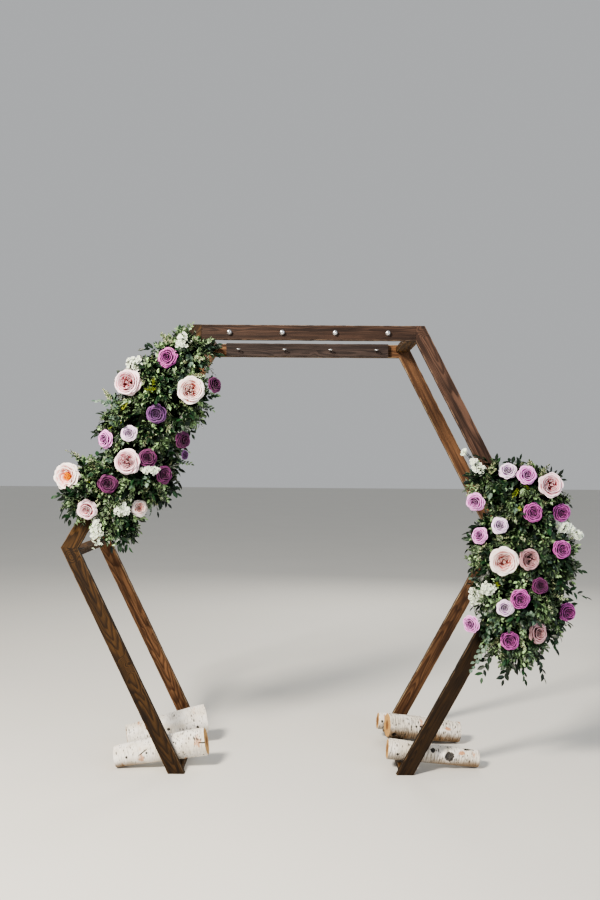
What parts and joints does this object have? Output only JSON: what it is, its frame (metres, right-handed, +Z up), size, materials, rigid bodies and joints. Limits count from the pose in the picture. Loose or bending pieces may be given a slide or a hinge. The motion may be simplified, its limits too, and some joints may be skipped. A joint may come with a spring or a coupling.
{
  "type": "hexagonal timber chuppah",
  "caption": "Free-standing hexagon chuppah: two tied frames of stained boards with flower arrangements at two corners and birch logs weighting the feet.",
  "frame": {"origin": "middle of the whole object's footprint box, on the ground", "axes": "+X to the right as seen from the flowered front, +Y from the front frame to the back frame, +Z up"},
  "size_m": [3.045, 1.1486, 2.6485],
  "materials": {
    "timber": "walnut stain, satin",
    "back_timber": "walnut stain, satin",
    "grey_timber": "greyed dark stain, matt",
    "steel": "bright zinc plate",
    "birch": "raw birch bark",
    "foliage": "cut leaves and sprays",
    "pale_petals": "soft petals",
    "purple_petals": "soft petals"
  },
  "bodies": {
    "root": {"front_top_beam": "timber", "front_upper_left": "timber", "front_upper_right": "timber", "front_left_leg": "timber", "front_right_leg": "timber", "top_left_tie": "timber", "top_right_tie": "timber", "middle_left_tie": "timber", "middle_right_tie": "timber", "left_foot_tie": "timber", "right_foot_tie": "timber", "back_top_beam": "back_timber", "back_upper_left": "back_timber", "back_upper_right": "back_timber", "back_left_leg": "back_timber", "back_right_leg": "back_timber", "back_eye_board": "grey_timber", "front_knob_1": "steel", "front_knob_2": "steel", "front_knob_3": "steel", "front_knob_4": "steel", "back_screw_eye_1": "steel", "back_screw_eye_2": "steel", "back_screw_eye_3": "steel", "back_screw_eye_4": "steel", "left_front_log": "birch", "left_back_log": "birch", "right_front_log": "birch", "right_back_log": "birch", "right_end_log": "birch", "left_greenery": "foliage", "right_greenery": "foliage", "left_garden_rose_1": "pale_petals", "left_garden_rose_2": "pale_petals", "left_garden_rose_3": "pale_petals", "left_peony": "pale_petals", "left_pink_rose": "pale_petals", "right_garden_rose_1": "pale_petals", "right_garden_rose_2": "pale_petals", "left_purple_rose": "purple_petals", "right_purple_rose_1": "purple_petals", "right_purple_rose_2": "purple_petals", "right_purple_rose_3": "purple_petals", "right_purple_rose_4": "purple_petals", "right_purple_rose_5": "purple_petals"}
  },
  "joints": []
}
